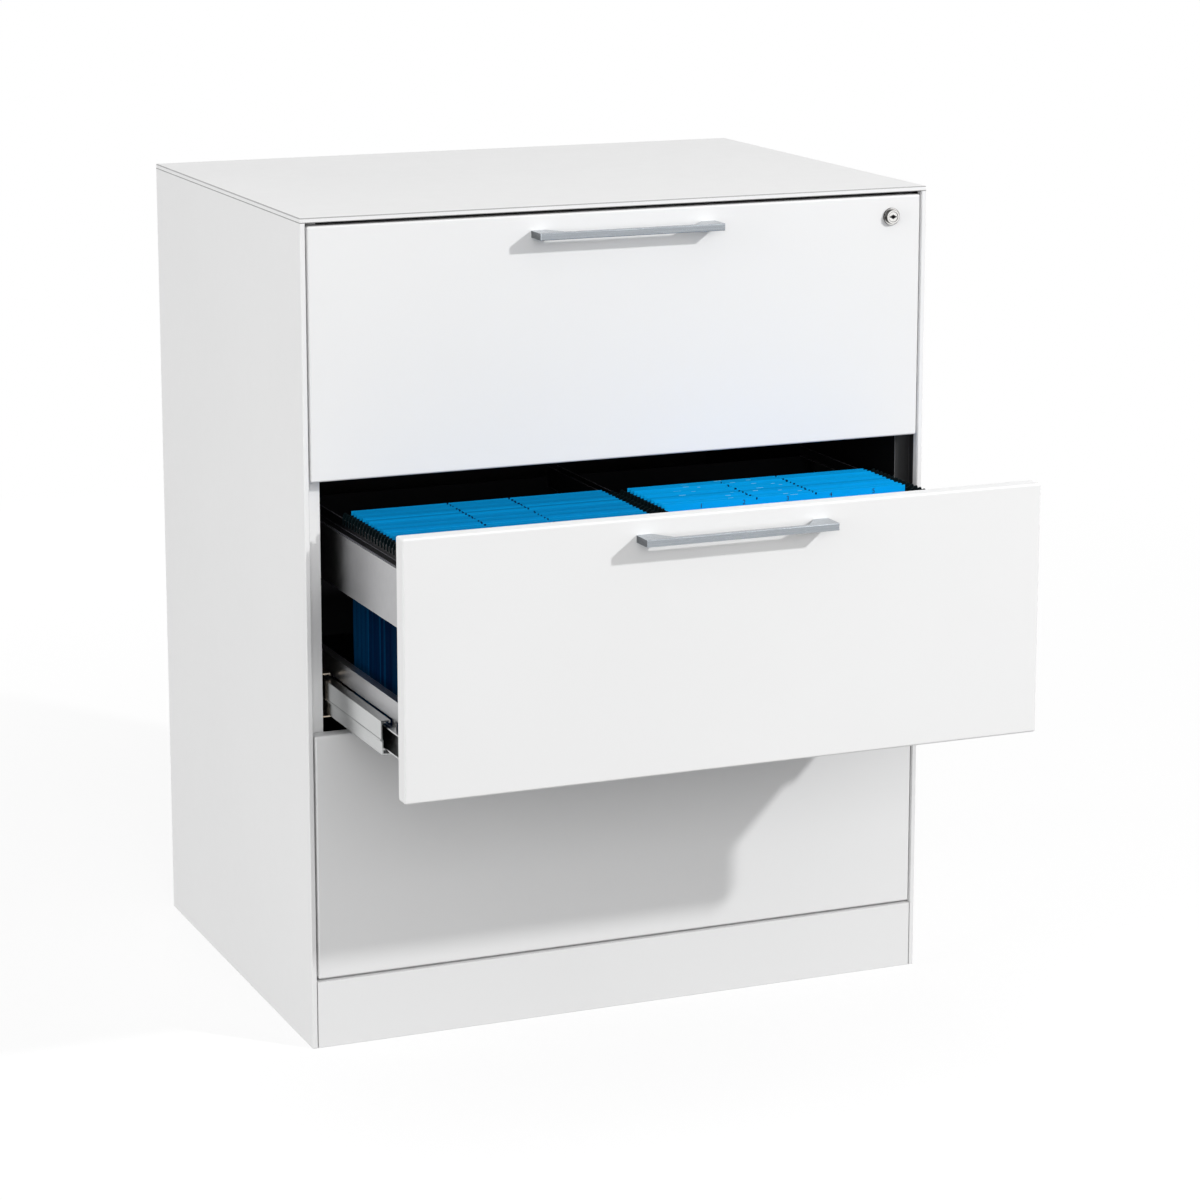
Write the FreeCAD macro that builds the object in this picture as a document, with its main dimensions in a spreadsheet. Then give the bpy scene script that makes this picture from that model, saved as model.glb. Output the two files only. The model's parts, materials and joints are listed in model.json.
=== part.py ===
"""Three-drawer steel filing cabinet with two hanging-file lanes in each drawer.

Millimetres, +Z up, fronts towards -Y, origin on the floor at the middle of the footprint.
The middle drawer stands open and holds hanging files.
"""
import FreeCAD
import Part
import collections
import math
import os
import re
import Sketcher

# Driving sizes, each one a cell of the document's sheet
SIZES = {
    # Whole cabinet
    "width": 800,
    "depth": 590,
    "height": 992,
    "sheet": 1.0,
    # Side panels: front edge, jamb behind the fronts, flange at the rear
    "edge_width": 6,
    "jamb_depth": 22,
    "jamb_reach": 26,
    "rear_flange": 20,
    "side_radius": 1.5,
    # Top tray
    "top_rim": 6,
    "top_lip": 14,
    "top_radius": 1.5,
    # Plinth, base frame, bottom pan and back
    "plinth_height": 82,
    "plinth_gap": 1,
    "pan_sheet": 1.2,
    "pan_flange": 20,
    "base_wall": 1.5,
    "ledge_width": 36,
    "ledge_level": 12,
    "back_lift": 10,
    "back_play": 1,
    # Levelling feet
    "foot_inset": 24,
    "foot_radius": 16,
    "foot_height": 8,
    "collar_width": 16,
    "stem_radius": 5,
    "stem_top": 45,
    "stem_play": 0.4,
    # Drawer fronts
    "front_thick": 20,
    "front_skin": 1.3,
    "front_gap": 3,
    "side_gap": 2.5,
    "top_gap": 4,
    "front_radius": 2.5,
    "inner_play": 0.2,
    # Bow handles
    "handle_length": 235,
    "handle_standoff": 30,
    "handle_height": 8.5,
    "handle_bar": 6,
    "handle_foot": 18,
    "handle_flare": 17,
    "handle_drop": 22.5,
    "handle_radius": 1,
    # Drawer frame: lower rails counted up from the drawer's base line, the rest down from its top
    "frame_sheet": 1.2,
    "rear_space": 50,
    "rail_bottom": 62,
    "rail_top": 85,
    "rail_flange": 10,
    "tab_width": 12,
    "tab_inset": 108,
    "tab_drop": 8,
    "band_drop": 61,
    "band_height": 67,
    "band_flange": 13,
    "back_flange": 20,
    "gusset_length": 97,
    "gusset_tip": 7,
    "gusset_drop": 49,
    # Hanger rails
    "lip_rise": 13,
    "rail_foot": 11,
    "twin_width": 14,
    "twin_height": 26,
    # Telescopic slides
    "slide_level": 41,
    "slide_depth": 18,
    "slide_wall": 1.5,
    "slide_lip": 3,
    "slide_setback": 8,
    "outer_height": 53,
    "outer_depth": 12.5,
    "outer_short": 5,
    "middle_gap": 2.5,
    "middle_depth": 11.5,
    "middle_short": 30,
    "middle_jog": 1.2,
    "jog_drop": 4,
    "inner_depth": 9,
    "inner_short": 20,
    "ball": 4.5,
    "ball_play": 0.25,
    "row_length": 150,
    "row_inset": 8,
    "row_bevel": 1.3,
    "open_middle": 312,
    "middle_share": 0.65,
    # Lock in the top front
    "lock_inset": 48,
    "lock_drop": 25,
    "lock_proud": 6.5,
    "rose_radius": 10.5,
    "rose_thick": 2.5,
    "barrel_radius": 8.5,
    "barrel_tail": 1.5,
    "barrel_play": 0.15,
    "plug_radius": 6,
    "plug_play": 0.1,
    "plug_sink": 0.5,
    "key_width": 9,
    "key_slot": 1.6,
    "key_diamond": 4.6,
    "key_depth": 7,
    "cam_gap": 0.5,
    "cam_radius": 10,
    "cam_thick": 2.5,
    "pin_offset": 7,
    "pin_radius": 2,
    "pin_length": 3.8,
    # Lock bar, its channel and its catches
    "cover_sheet": 0.8,
    "cover_setback": 1,
    "channel_depth": 18,
    "bar_gap": 1.5,
    "bar_thick": 3,
    "bar_width": 14,
    "bar_tail": 50,
    "arm_height": 18,
    "slot_play": 0.4,
    "slot_rim": 4,
    "guide_width": 5,
    "guide_play": 0.3,
    "guide_head": 10,
    "catch_height": 8,
    "catch_reach": 12,
    "catch_play": 1.5,
    "window_play": 2,
    "lug_drop": 34,
    "lug_sheet": 2,
    "lug_length": 14,
    "lug_clear": 1.4,
    "lug_foot": 16,
    # Hanging files in the open drawer
    "file_pitch": 10.3,
    "file_count": 31,
    "file_opening": 9.3,
    "file_board": 0.6,
    "file_rise": 8,
    "file_bottom": 20,
    "file_margin": 9,
    "file_start": 2,
    "hook_thick": 1.6,
    "hook_height": 5.5,
    "hook_wall": 2,
    "hook_drop": 6,
    "hook_play": 0.6,
    "hook_seat": 0.2,
}

Drawer = collections.namedtuple("Drawer", "name index open")
DRAWERS = (
    Drawer("bottom", 0, "0 * open_middle"),
    Drawer("middle", 1, "open_middle"),
    Drawer("top", 2, "0 * open_middle"),
)

# Lengths and places that follow from the driving sizes
RULES = {
    "side": "width / 2",
    "front": "-depth / 2",
    "rear": "depth / 2",
    "pitch": f"(height - top_rim - top_gap - plinth_height) / {len(DRAWERS)}",
    "carcass_top": "height - top_rim",
    "jamb": "side - jamb_reach",
    "jamb_back": "front + jamb_depth + sheet",
    "back_face": "rear - 2 * sheet",
    "ledge_top": "ledge_level + base_wall",
    "foot_x": "side - sheet - foot_inset",
    "foot_front": "jamb_back + foot_inset",
    "foot_rear": "back_face - foot_inset",
    "front_half": "side - edge_width - side_gap",
    "frame_x": "jamb - slide_depth",
    "frame_in": "frame_x - frame_sheet",
    "frame_length": "depth - front_thick - rear_space",
    "frame_back": "front_thick + frame_length",
    "band_top": "pitch - band_drop",
    "band_bottom": "band_top - band_height",
    "gusset_top": "band_top - gusset_drop",
    "lip_top": "band_top + lip_rise",
    "twin_bottom": "lip_top - twin_height",
    "lip_x": "frame_x - band_flange",
    "outer_half": "outer_height / 2",
    "middle_half": "outer_half - slide_wall - ball - 2 * ball_play",
    "inner_half": "middle_half - slide_wall - ball - 2 * ball_play",
    "outer_length": "frame_length - outer_short",
    "middle_length": "frame_length - middle_short",
    "inner_length": "frame_length - inner_short",
    "middle_x": "jamb - slide_wall - middle_gap",
    "slide_start": "jamb_depth + slide_setback",
    "outer_row": "middle_half + ball_play + ball / 2",
    "inner_row": "inner_half + ball_play + ball / 2",
    "outer_row_x": "jamb - outer_depth / 2",
    "inner_row_x": "middle_x - slide_wall - (middle_depth - 2 * slide_wall) / 2",
    "lock_x": "side - lock_inset",
    "lock_z": "carcass_top - top_gap - lock_drop",
    "cam_face": "front_thick + barrel_tail + cam_gap",
    "pin_reach": "pin_offset * sqrt(0.5)",
    "lift": "2 * pin_reach",
    "channel_out": "side - edge_width",
    "channel_back": "jamb_back + channel_depth",
    "bar_mid": "(jamb + channel_out) / 2",
    "arm_face": "jamb_back + sheet + bar_gap",
    "bar_face": "arm_face + bar_thick",
    "catch_face": "bar_face + bar_thick",
    "catch_back": "catch_face + bar_thick",
    "arm_z": "lock_z - pin_reach",
    "arm_end": "lock_x + pin_reach - pin_radius - 1 - slot_rim",
    "lug_level": "band_top - lug_drop",
    "lug_half": "lift - catch_height / 2 - lug_clear",
    "lug_face": "catch_back - front + catch_play",
    "bar_bottom": "plinth_height + lug_level - bar_tail",
    "file_first": "front_thick + file_start + file_opening / 2",
    "file_top": "lip_top + file_rise",
    "lane_out": "lip_x - file_margin",
    "lane_in": "twin_width / 2 + file_margin",
    "hook_out": "lip_x + frame_sheet + hook_play + hook_wall",
    "hook_in": "twin_width / 2 - frame_sheet - hook_play - hook_wall",
}
FUNCTIONS = ("sqrt",)

Circle = collections.namedtuple("Circle", "x y radius")

# Sketch plane across each axis, and the sign of that axis along the plane's normal
PLANES = {"x": ("YZ_Plane", 1), "y": ("XZ_Plane", -1), "z": ("XY_Plane", 1)}

# Unit steps of a folded sheet's path
STEPS = {"right": (1, 0), "left": (-1, 0), "up": (0, 1), "down": (0, -1)}

doc = FreeCAD.newDocument("FilingCabinet")
nodes = []


def fill_sheet():
    """Write every driving size into the sheet as a named cell."""
    sheet = doc.addObject("Spreadsheet::Sheet", "Sizes")
    for row, (name, value) in enumerate(SIZES.items(), start=1):
        sheet.set(f"A{row}", name)
        sheet.set(f"B{row}", str(value))
        sheet.setAlias(f"B{row}", name)
    doc.recompute()


def formula(text):
    """Turn a formula of size names into an expression on the sheet's cells."""
    def expand(match):
        word = match.group()
        if word in RULES:
            return f"({formula(RULES[word])})"
        return word if word in FUNCTIONS else f"Sizes.{word}"
    return re.sub(r"[a-z_]+", expand, text)


def bind(thing, name, text):
    """Tie a property to the sheet."""
    thing.setExpression(name, formula(text))


# Building blocks


def new_body(label):
    body = doc.addObject("PartDesign::Body", label)
    body.AllowCompound = True
    return body


def origin(body, role):
    return next(part for part in body.Origin.OriginFeatures if part.Role == role)


def rect(x_low, y_low, x_high, y_high):
    return [(x_low, y_low), (x_high, y_low), (x_high, y_high), (x_low, y_high)]


def around(x, y, x_half, y_half):
    """Rectangle about a point."""
    return rect(f"{x} - {x_half}", f"{y} - {y_half}", f"{x} + {x_half}", f"{y} + {y_half}")


def inset_rect(x_half, y_low, y_high, inset):
    """Rectangle centred on the middle plane, drawn in by an even margin."""
    half = f"({x_half} - ({inset}))"
    return rect(f"-{half}", f"{y_low} + {inset}", half, f"{y_high} - ({inset})")


def bevelled(x, y, half, bevel):
    """Square about a point with its corners cut off."""
    flat = f"({half} - {bevel})"
    corners = [(half, flat), (flat, half), (f"-{flat}", half), (f"-{half}", flat)]
    corners += [(f"-{half}", f"-{flat}"), (f"-{flat}", f"-{half}"), (flat, f"-{half}"), (half, f"-{flat}")]
    return [(f"{x} + ({u})", f"{y} + ({v})") for u, v in corners]


def hexagon(x, y, across):
    """Hexagon of a nut about a point, with its flats to the left and right."""
    flat = f"{across} / 2"
    tip = f"{across} / sqrt(3)"
    shoulder = f"{tip} / 2"
    corners = [(flat, f"-{shoulder}"), (flat, shoulder), ("0 * width", tip)]
    corners += [(f"-{flat}", shoulder), (f"-{flat}", f"-{shoulder}"), ("0 * width", f"-{tip}")]
    return [(f"{x} + ({u})", f"{y} + ({v})") for u, v in corners]


def folded(start, moves, sheet, hand):
    """Outline of a sheet folded along a path, with the sheet on one hand of the path."""
    turn = 1 if hand == "left" else -1
    path = [start]
    for step, place in moves:
        x, y = path[-1]
        path.append((place, y) if STEPS[step][0] else (x, place))
    across = [(-turn * STEPS[step][1], turn * STEPS[step][0]) for step, _ in moves]
    inner = []
    for number, (x, y) in enumerate(path):
        beside = across[max(number - 1, 0):number + 1]
        x_shift = sum(normal[0] for normal in beside)
        y_shift = sum(normal[1] for normal in beside)
        inner.append((f"{x} + ({x_shift}) * {sheet}", f"{y} + ({y_shift}) * {sheet}"))
    return path + inner[::-1]


def fix_point(sketch, geometry, end, at, x, y):
    """Hold a sketch point at a place given by two formulas."""
    for kind, value, text in (("DistanceX", at.x, x), ("DistanceY", at.y, y)):
        index = sketch.addConstraint(Sketcher.Constraint(kind, -1, 1, geometry, end, value))
        bind(sketch, f"Constraints[{index}]", text)


def add_polygon(sketch, corners):
    count = len(corners)
    angles = [2 * math.pi * number / count for number in range(count)]
    ring = [FreeCAD.Vector(math.cos(angle), math.sin(angle), 0) for angle in angles]
    lines = [sketch.addGeometry(Part.LineSegment(ring[i], ring[(i + 1) % count])) for i in range(count)]
    for number, line in enumerate(lines):
        sketch.addConstraint(Sketcher.Constraint("Coincident", line, 2, lines[(number + 1) % count], 1))
    for line, at, (x, y) in zip(lines, ring, corners):
        fix_point(sketch, line, 1, at, x, y)


def add_circle(sketch, circle):
    centre = FreeCAD.Vector(1, 1, 0)
    geometry = sketch.addGeometry(Part.Circle(centre, FreeCAD.Vector(0, 0, 1), 1))
    index = sketch.addConstraint(Sketcher.Constraint("Radius", geometry, 1))
    bind(sketch, f"Constraints[{index}]", circle.radius)
    fix_point(sketch, geometry, 3, centre, circle.x, circle.y)


def new_sketch(body, axis, level, loops):
    role, sign = PLANES[axis]
    sketch = body.newObject("Sketcher::SketchObject", "Sketch")
    sketch.AttachmentSupport = [(origin(body, role), "")]
    sketch.MapMode = "FlatFace"
    bind(sketch, "AttachmentOffset.Base.z", f"{sign} * ({level})")
    for loop in loops:
        if isinstance(loop, Circle):
            add_circle(sketch, loop)
        else:
            add_polygon(sketch, loop)
    return sketch


def pad(body, axis, start, end, *loops):
    """Add the loops' area from start to end along an axis."""
    feature = body.newObject("PartDesign::Pad", "Pad")
    feature.Profile = new_sketch(body, axis, start, loops)
    feature.Reversed = axis == "y"
    bind(feature, "Length", f"{end} - ({start})")
    body.Tip = feature
    return feature


def pocket(body, axis, start, end, *loops):
    """Cut the loops' area from start to end along an axis, and see that it cuts."""
    doc.recompute()
    before = body.Tip.Shape.Volume
    feature = body.newObject("PartDesign::Pocket", "Pocket")
    feature.Profile = new_sketch(body, axis, start, loops)
    feature.Reversed = axis != "y"
    bind(feature, "Length", f"{end} - ({start})")
    body.Tip = feature
    doc.recompute()
    if feature.Shape.Volume >= before:
        raise RuntimeError(f"a cut in {body.Label} removes nothing")


def add_mirror(body):
    """Repeat the whole body across the middle plane."""
    doc.recompute()
    feature = body.newObject("PartDesign::Mirrored", "Mirrored")
    feature.TransformMode = "Whole shape"
    feature.MirrorPlane = (origin(body, "YZ_Plane"), [""])
    body.Tip = feature


def round_edges(body, radius, chosen):
    """Round the edges that a test of edge box and body box picks."""
    doc.recompute()
    base = body.Tip
    whole = base.Shape.BoundBox
    names = [f"Edge{i}" for i, edge in enumerate(base.Shape.Edges, 1) if chosen(edge.BoundBox, whole)]
    feature = body.newObject("PartDesign::Fillet", "Fillet")
    feature.Base = (base, names)
    bind(feature, "Radius", radius)
    body.Tip = feature


def near(value, *targets):
    return any(abs(value - target) < 1e-4 for target in targets)


def upright_on_face(edge, whole):
    """Vertical edges on the outer side and on the front plane."""
    return edge.ZLength > whole.ZLength / 2 and near(edge.XMin, whole.XMin) and edge.XLength < 1e-4


def finish(thing, label, x="0 * width", y="0 * width", z="0 * width"):
    """Name a piece, place it and keep it for the hand-out."""
    thing.Label = label
    for axis, text in (("x", x), ("y", y), ("z", z)):
        bind(thing, f"Placement.Base.{axis}", text)
    nodes.append(thing)


def mirrored_copy(source, label):
    """A piece of its own that is another piece's mirror image."""
    copy = doc.addObject("Part::Mirroring", label)
    copy.Source = source
    copy.Normal = FreeCAD.Vector(1, 0, 0)
    copy.Label = label
    nodes.append(copy)


# Carcass


def side_panels():
    body = new_body("side_panel_left")
    path = [
        ("left", "-side"),
        ("down", "front"),
        ("right", "edge_width - side"),
        ("up", "front + jamb_depth"),
        ("right", "jamb_reach - side"),
    ]
    pad(body, "z", "0 * height", "carcass_top", folded(("rear_flange - side", "rear"), path, "sheet", "left"))
    round_edges(body, "side_radius", upright_on_face)
    finish(body, "side_panel_left")
    mirrored_copy(body, "side_panel_right")


def top_panel():
    body = new_body("top_panel")
    pad(body, "z", "carcass_top", "height", inset_rect("side", "front", "rear", "0 * sheet"))
    pocket(body, "z", "carcass_top", "height - sheet", inset_rect("side", "front", "rear", "top_lip"))
    pocket(body, "z", "carcass_top + sheet", "height - sheet", inset_rect("side", "front", "rear", "sheet"))
    round_edges(body, "top_radius", lambda edge, whole: near(edge.ZMin, whole.ZMax) or (
        near(edge.ZLength, whole.ZLength)))
    finish(body, "top_panel")


def back_panel():
    body = new_body("back_panel")
    half = "side - sheet - back_play"
    pad(body, "y", "back_face", "rear - sheet", rect(f"-({half})", "back_lift", half, "carcass_top"))
    finish(body, "back_panel")


def plinth():
    body = new_body("plinth")
    face = ("side - edge_width - plinth_gap", "0 * height", "plinth_height")
    pad(body, "y", "front", "front + jamb_depth", inset_rect(*face, "0 * sheet"))
    pocket(body, "y", "front + pan_sheet", "front + jamb_depth", inset_rect(*face, "pan_sheet"))
    finish(body, "plinth")


def base_frame():
    body = new_body("base_frame")
    footprint = ("side - sheet", "jamb_back", "back_face")
    outer = inset_rect(*footprint, "0 * sheet")
    pad(body, "z", "0 * height", "plinth_height - pan_sheet", outer, inset_rect(*footprint, "base_wall"))
    pad(body, "z", "ledge_level", "ledge_top", outer, inset_rect(*footprint, "ledge_width"))
    holes = [Circle(x, y, "stem_radius + stem_play") for x, y in foot_places()]
    pocket(body, "z", "ledge_level", "ledge_top", *holes)
    finish(body, "base_frame")


def foot_places():
    return [(x, y) for x in ("-foot_x", "foot_x") for y in ("foot_front", "foot_rear")]


def levelling_feet():
    body = new_body("levelling_feet")
    pad(body, "z", "0 * height", "foot_height", *[Circle(x, y, "foot_radius") for x, y in foot_places()])
    pad(body, "z", "foot_height", "ledge_level", *[hexagon(x, y, "collar_width") for x, y in foot_places()])
    pad(body, "z", "ledge_level", "stem_top", *[Circle(x, y, "stem_radius") for x, y in foot_places()])
    finish(body, "levelling_feet")


def bottom_pan():
    body = new_body("bottom_pan")
    footprint = ("side - sheet", "jamb_back", "back_face")
    under = "plinth_height - pan_sheet"
    pad(body, "z", under, "plinth_height", inset_rect(*footprint, "0 * sheet"))
    outer = inset_rect(*footprint, "base_wall")
    pad(body, "z", f"{under} - pan_flange", under, outer, inset_rect(*footprint, "(base_wall + pan_sheet)"))
    finish(body, "bottom_pan")


def liner_body(label, start):
    """Black inner wall: a pan on the left side whose web carries the slides."""
    body = new_body(label)
    path = [("right", "-jamb"), ("up", "back_face"), ("left", "sheet - side")]
    pad(body, "z", "plinth_height", "carcass_top", folded(("sheet - side", start), path, "sheet", "left"))
    return body


def liners():
    finish(liner_body("liner_left", "jamb_back"), "liner_left")
    mirrored_copy(liner_body("liner_right_source", "channel_back"), "liner_right")


# Drawers


def base_line(drawer):
    return f"plinth_height + {drawer.index} * pitch"


def ride_with(drawer, body, label):
    """Place a piece that moves with the drawer."""
    finish(body, f"{label}_{drawer.name}", y=f"front - {drawer.open}", z=base_line(drawer))


def lock_hole():
    return Circle("lock_x", "pitch - lock_drop", "barrel_radius + barrel_play")


def drawer_front(drawer):
    body = new_body(f"front_{drawer.name}")
    pad(body, "y", "0 * depth", "front_thick", inset_rect("front_half", "front_gap", "pitch", "0 * sheet"))
    hollow = inset_rect("front_half", "front_gap", "pitch", "front_skin")
    pocket(body, "y", "front_skin", "front_thick", hollow)
    round_edges(body, "front_radius", lambda edge, whole: near(edge.YMax, whole.YMin) or (
        near(edge.YLength, whole.YLength)))
    if drawer is DRAWERS[-1]:
        pocket(body, "y", "0 * depth", "front_skin", lock_hole())
    ride_with(drawer, body, "front")


def inner_front(drawer):
    body = new_body(f"inner_front_{drawer.name}")
    plate = inset_rect("front_half", "front_gap", "pitch", "(front_skin + inner_play)")
    pad(body, "y", "front_thick - frame_sheet", "front_thick", plate)
    tip = "front_thick + gusset_length"
    gusset = [
        ("front_thick", "rail_top"),
        (tip, "rail_top"),
        (tip, "rail_top + gusset_tip"),
        ("front_thick", "gusset_top"),
    ]
    pad(body, "x", "-frame_in", "frame_sheet - frame_in", gusset)
    add_mirror(body)
    if drawer is DRAWERS[-1]:
        pocket(body, "y", "front_thick - frame_sheet", "front_thick", lock_hole())
    ride_with(drawer, body, "inner_front")


def handle(drawer):
    body = new_body(f"handle_{drawer.name}")
    end = "handle_length / 2"
    foot = f"({end} - handle_foot)"
    brace = f"({foot} - handle_flare)"
    under = "handle_bar - handle_standoff"
    half_bow = [(end, "-handle_standoff"), (end, "0 * depth"), (foot, "0 * depth"), (brace, under)]
    bow = half_bow + [(f"-({x})", y) for x, y in half_bow[::-1]]
    level = "pitch - handle_drop"
    pad(body, "z", f"{level} - handle_height / 2", f"{level} + handle_height / 2", bow)
    round_edges(body, "handle_radius", lambda edge, whole: near(edge.YMax, whole.YMin))
    ride_with(drawer, body, "handle")


def upper_bands(drawer):
    body = new_body(f"upper_bands_{drawer.name}")
    path = [("up", "band_top"), ("right", "-lip_x")]
    outline = folded(("-frame_x", "band_bottom"), path, "frame_sheet", "right")
    pad(body, "y", "front_thick", "frame_back - frame_sheet", outline)
    add_mirror(body)
    ride_with(drawer, body, "upper_bands")


def lower_rails(drawer):
    """Lower side rails, with two tabs each that hang on the inner slide members."""
    body = new_body(f"lower_rails_{drawer.name}")
    path = [("up", "rail_top"), ("right", "rail_flange - frame_x")]
    outline = folded(("-frame_x", "rail_bottom"), path, "frame_sheet", "right")
    pad(body, "y", "front_thick", "frame_back - frame_sheet", outline)
    tab_low = "slide_level - tab_drop"
    tab_high = "rail_bottom + frame_sheet"
    starts = ("front_thick + tab_inset", "front_thick + inner_length - tab_inset")
    tabs = [rect(start, tab_low, f"{start} + tab_width", tab_high) for start in starts]
    pad(body, "x", "-frame_x", "-frame_in", *tabs)
    add_mirror(body)
    ride_with(drawer, body, "lower_rails")


def drawer_back(drawer):
    body = new_body(f"drawer_back_{drawer.name}")
    face = "frame_back - frame_sheet"
    top = "band_top - frame_sheet"
    pad(body, "y", face, "frame_back", rect("-frame_x", "rail_bottom", "frame_x", top))
    wing = rect("-frame_in", "rail_top", "frame_sheet - frame_in", top)
    pad(body, "y", "frame_back - back_flange", face, wing)
    add_mirror(body)
    ride_with(drawer, body, "drawer_back")


def hanger_rails(drawer):
    """Side rails on the upper bands and a twin rail in the middle; the files hang on their lips."""
    body = new_body(f"hanger_rails_{drawer.name}")
    face = "frame_back - frame_sheet"
    path = [("right", "-lip_x"), ("up", "lip_top")]
    side_rail = folded(("-lip_x - rail_foot", "band_top"), path, "frame_sheet", "left")
    pad(body, "y", "front_thick", face, side_rail)
    add_mirror(body)
    half = "twin_width / 2"
    twin_path = [("down", "twin_bottom"), ("right", half), ("up", "lip_top")]
    pad(body, "y", "front_thick", face, folded((f"-{half}", "lip_top"), twin_path, "frame_sheet", "left"))
    ride_with(drawer, body, "hanger_rails")


def catch_lug(drawer):
    """Angle on the right band; its leg stands behind the lock bar's catch."""
    body = new_body(f"catch_lug_{drawer.name}")
    path = [("down", "lug_face"), ("right", "frame_x + lug_length")]
    outline = folded(("frame_x", "lug_face + lug_foot"), path, "lug_sheet", "left")
    pad(body, "z", "lug_level - lug_half", "lug_level + lug_half", outline)
    ride_with(drawer, body, "catch_lug")


# Telescopic slides


def slide_outer(drawer):
    body = new_body(f"slide_outer_{drawer.name}")
    edge = "outer_depth - jamb"
    top = "slide_level + outer_half"
    low = "slide_level - outer_half"
    path = [("up", top), ("left", "-jamb"), ("down", low), ("right", edge), ("up", f"{low} + slide_lip")]
    outline = folded((edge, f"{top} - slide_lip"), path, "slide_wall", "left")
    pad(body, "y", "slide_start", "slide_start + outer_length", outline)
    add_mirror(body)
    finish(body, f"slide_outer_{drawer.name}", y="front", z=base_line(drawer))


def slide_middle(drawer):
    body = new_body(f"slide_middle_{drawer.name}")
    edge = "middle_depth - middle_x"
    top = "slide_level + middle_half"
    low = "slide_level - middle_half"
    path = [
        ("up", top),
        ("left", "-middle_x"),
        ("down", "slide_level - jog_drop"),
        ("right", "middle_jog - middle_x"),
        ("down", low),
        ("right", edge),
        ("up", f"{low} + slide_lip"),
    ]
    outline = folded((edge, f"{top} - slide_lip"), path, "slide_wall", "left")
    pad(body, "y", "slide_start", "slide_start + middle_length", outline)
    add_mirror(body)
    ride_between(drawer, body, "slide_middle")


def ball_rows(drawer):
    """Ball cages between the members, each a bevelled strip as high as the balls that it holds."""
    body = new_body(f"ball_rows_{drawer.name}")
    rear = "slide_start + middle_length - row_inset"
    near_front = "slide_start + row_inset"
    for start, end, x, offset in (
        (f"{rear} - row_length", rear, "outer_row_x", "outer_row"),
        (near_front, f"{near_front} + row_length", "inner_row_x", "inner_row"),
    ):
        rows = [bevelled(f"-{x}", f"slide_level {sign} {offset}", "ball / 2", "row_bevel") for sign in "+-"]
        pad(body, "y", start, end, *rows)
    add_mirror(body)
    ride_between(drawer, body, "ball_rows")


def slide_inner(drawer):
    body = new_body(f"slide_inner_{drawer.name}")
    edge = "-frame_x - inner_depth"
    top = "slide_level + inner_half"
    path = [("right", "-frame_x"), ("down", "slide_level - inner_half"), ("left", edge)]
    outline = folded((edge, top), path, "slide_wall", "right")
    pad(body, "y", "front_thick", "front_thick + inner_length", outline)
    add_mirror(body)
    ride_with(drawer, body, "slide_inner")


def ride_between(drawer, body, label):
    """Place a piece that moves a fixed share of the drawer's way."""
    finish(body, f"{label}_{drawer.name}", y=f"front - middle_share * {drawer.open}", z=base_line(drawer))


# Lock


def lock_cover():
    body = new_body("lock_cover")
    path = [("up", "front + jamb_depth"), ("left", "jamb")]
    outline = folded(("channel_out", "front + cover_setback"), path, "cover_sheet", "left")
    pad(body, "z", "plinth_height + cover_setback", "carcass_top - cover_setback", outline)
    finish(body, "lock_cover")


def lug_height(drawer):
    return f"{base_line(drawer)} + lug_level"


def resting_catch(drawer):
    return f"{lug_height(drawer)} - lift"


def lock_channel():
    """Channel behind the right jamb, notched where the arm and the catches reach out of it."""
    body = new_body("lock_channel")
    path = [("down", "jamb_back"), ("left", "jamb"), ("up", "channel_back")]
    outline = folded(("channel_out", "channel_back"), path, "sheet", "right")
    pad(body, "z", "plinth_height", "carcass_top", outline)
    spans = [(resting_catch(drawer), "catch_height / 2 + window_play") for drawer in DRAWERS]
    spans.append(("arm_z", "arm_height / 2 + window_play"))
    notches = [
        rect("arm_face - bar_gap", f"{z} - ({half})", "channel_back", f"{z} + {half} + lift")
        for z, half in spans
    ]
    pocket(body, "x", "jamb", "jamb + sheet", *notches)
    finish(body, "lock_channel")


def guide_heights():
    return [f"{lug_height(drawer)} + bar_tail * {share}" for drawer, share in zip(DRAWERS, (-0.6, 1, 0.6))]


def lock_guides():
    """T-shaped guide blocks on the channel; the lock bar's slots run on them."""
    body = new_body("lock_guides")
    for start, end, across in (
        ("jamb_back + sheet", "catch_face + guide_play", "guide_width / 2"),
        ("catch_face + guide_play", "catch_back - guide_play", "guide_head / 2"),
    ):
        blocks = [around("bar_mid", z, across, across) for z in guide_heights()]
        pad(body, "y", start, end, *blocks)
    finish(body, "lock_guides")


def lock_bar():
    body = new_body("lock_bar")
    half = "bar_width / 2"
    strip = rect(f"bar_mid - {half}", "bar_bottom", f"bar_mid + {half}", "arm_z + arm_height / 2")
    pad(body, "y", "bar_face", "catch_face", strip)
    reach = "(guide_width / 2 + guide_play)"
    slots = [
        rect(f"bar_mid - {reach}", f"{z} - lift - {reach}", f"bar_mid + {reach}", f"{z} + {reach}")
        for z in guide_heights()
    ]
    pocket(body, "y", "bar_face", "catch_face", *slots)
    finish(body, "lock_bar")


def lock_arm():
    """Arm on the lock bar with the slot that takes the cam's pin."""
    body = new_body("lock_arm")
    arm = rect("arm_end", "arm_z - arm_height / 2", "bar_mid + bar_width / 2", "arm_z + arm_height / 2")
    pad(body, "y", "arm_face", "bar_face", arm)
    rise = "(pin_radius + slot_play)"
    slot = rect("arm_end + slot_rim", f"arm_z - {rise}", f"lock_x + pin_offset + {rise}", f"arm_z + {rise}")
    pocket(body, "y", "arm_face", "bar_face", slot)
    finish(body, "lock_arm")


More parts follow.
